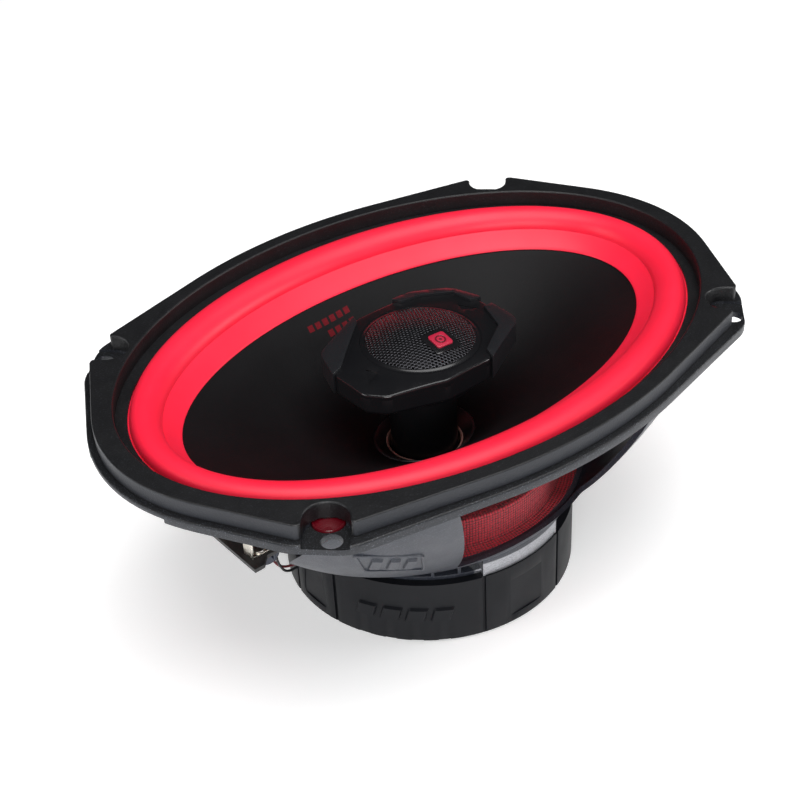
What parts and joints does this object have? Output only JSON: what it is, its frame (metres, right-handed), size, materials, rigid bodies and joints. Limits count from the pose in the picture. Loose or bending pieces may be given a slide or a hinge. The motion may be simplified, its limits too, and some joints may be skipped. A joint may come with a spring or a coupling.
{
  "type": "coaxial car speaker",
  "caption": "Oval coaxial car speaker: sprung cone with a rubber surround in a windowed basket, booted magnet, and a post-mounted tweeter pod with its own sprung dome.",
  "frame": {"origin": "centre of the four mounting holes, in the plane of the flange's underside", "axes": "+Z along the cone's travel towards the listener, +X along the long axis of the oval, the terminal board is at -X"},
  "size_m": [0.2364, 0.167, 0.0957],
  "materials": {
    "basket_paint": "satin powder coat, fine texture",
    "screw_steel": "zinc plated",
    "rivet_metal": "tinned",
    "gasket_plastic": "grained moulded plastic",
    "surround_rubber": "smooth dyed rubber",
    "cone_poly": "fine-grained pressed cone",
    "neck_glue": "cured adhesive",
    "spider_cloth": "impregnated woven cloth",
    "former_film": "heat-proof film",
    "coil_copper": "enamelled copper wire",
    "plated_steel": "zinc plated",
    "ferrite": "sintered ferrite",
    "neodymium": "nickel plated",
    "boot_rubber": "moulded rubber",
    "pod_plastic": "satin moulded plastic",
    "claw_plastic": "fine-textured moulded plastic",
    "grille_metal": "perforated and painted",
    "badge_black": "gloss",
    "badge_red": "gloss",
    "dome_film": "coated dome cloth",
    "felt": "damping felt",
    "board_fibre": "fibre board",
    "tab_metal": "tinned brass",
    "capacitor_skin": "shrink film",
    "insert_brass": "turned brass",
    "tinsel_braid": "braided tinsel wire",
    "lead_red": "wire insulation",
    "lead_black": "wire insulation"
  },
  "bodies": {
    "frame": {"badge": "badge_red", "badge_frame": "badge_black", "basket": "basket_paint", "basket_screws": "screw_steel", "board_screws": "screw_steel", "board_standoffs": "pod_plastic", "bolt_washer": "screw_steel", "claw_back": "claw_plastic", "claw_left": "claw_plastic", "claw_right": "claw_plastic", "crossover_capacitor": "capacitor_skin", "damping_felt": "felt", "dome_ring": "pod_plastic", "ferrite_magnet": "ferrite", "gasket": "gasket_plastic", "grille_spacer": "pod_plastic", "magnet_boot": "boot_rubber", "post_bolt": "screw_steel", "spider": "spider_cloth", "surround": "surround_rubber", "t_yoke": "plated_steel", "terminal_board": "board_fibre", "terminal_rivets": "rivet_metal", "terminal_tab_negative": "tab_metal", "terminal_tab_positive": "tab_metal", "threaded_insert": "insert_brass", "tinsel_lead_negative": "tinsel_braid", "tinsel_lead_positive": "tinsel_braid", "top_plate": "plated_steel", "tweeter_bezel": "pod_plastic", "tweeter_cup": "plated_steel", "tweeter_grille": "grille_metal", "tweeter_housing": "pod_plastic", "tweeter_lead_negative": "lead_black", "tweeter_lead_positive": "lead_red", "tweeter_magnet": "neodymium", "tweeter_pole_plate": "plated_steel", "tweeter_post": "pod_plastic", "tweeter_suspension": "dome_film"},
    "cone": {"cone": "cone_poly", "neck_ring": "neck_glue", "voice_coil_former": "former_film", "voice_coil_winding": "coil_copper", "cone_eyelets": "insert_brass"},
    "tweeter_diaphragm": {"tweeter_dome": "dome_film", "tweeter_voice_coil": "coil_copper"}
  },
  "joints": [
    {"name": "cone_travel", "type": "slide", "parent": "frame", "child": "cone", "axis": [0, 0, 1], "range_m": [-0.0045, 0.0045], "stiffness_N_per_m": 2400, "deforming": ["surround", "spider", "tinsel_lead_positive", "tinsel_lead_negative"]},
    {"name": "tweeter_travel", "type": "slide", "parent": "frame", "child": "tweeter_diaphragm", "axis": [0, 0, 1], "range_m": [-0.0003, 0.0003], "stiffness_N_per_m": 500, "deforming": ["tweeter_suspension"]}
  ]
}
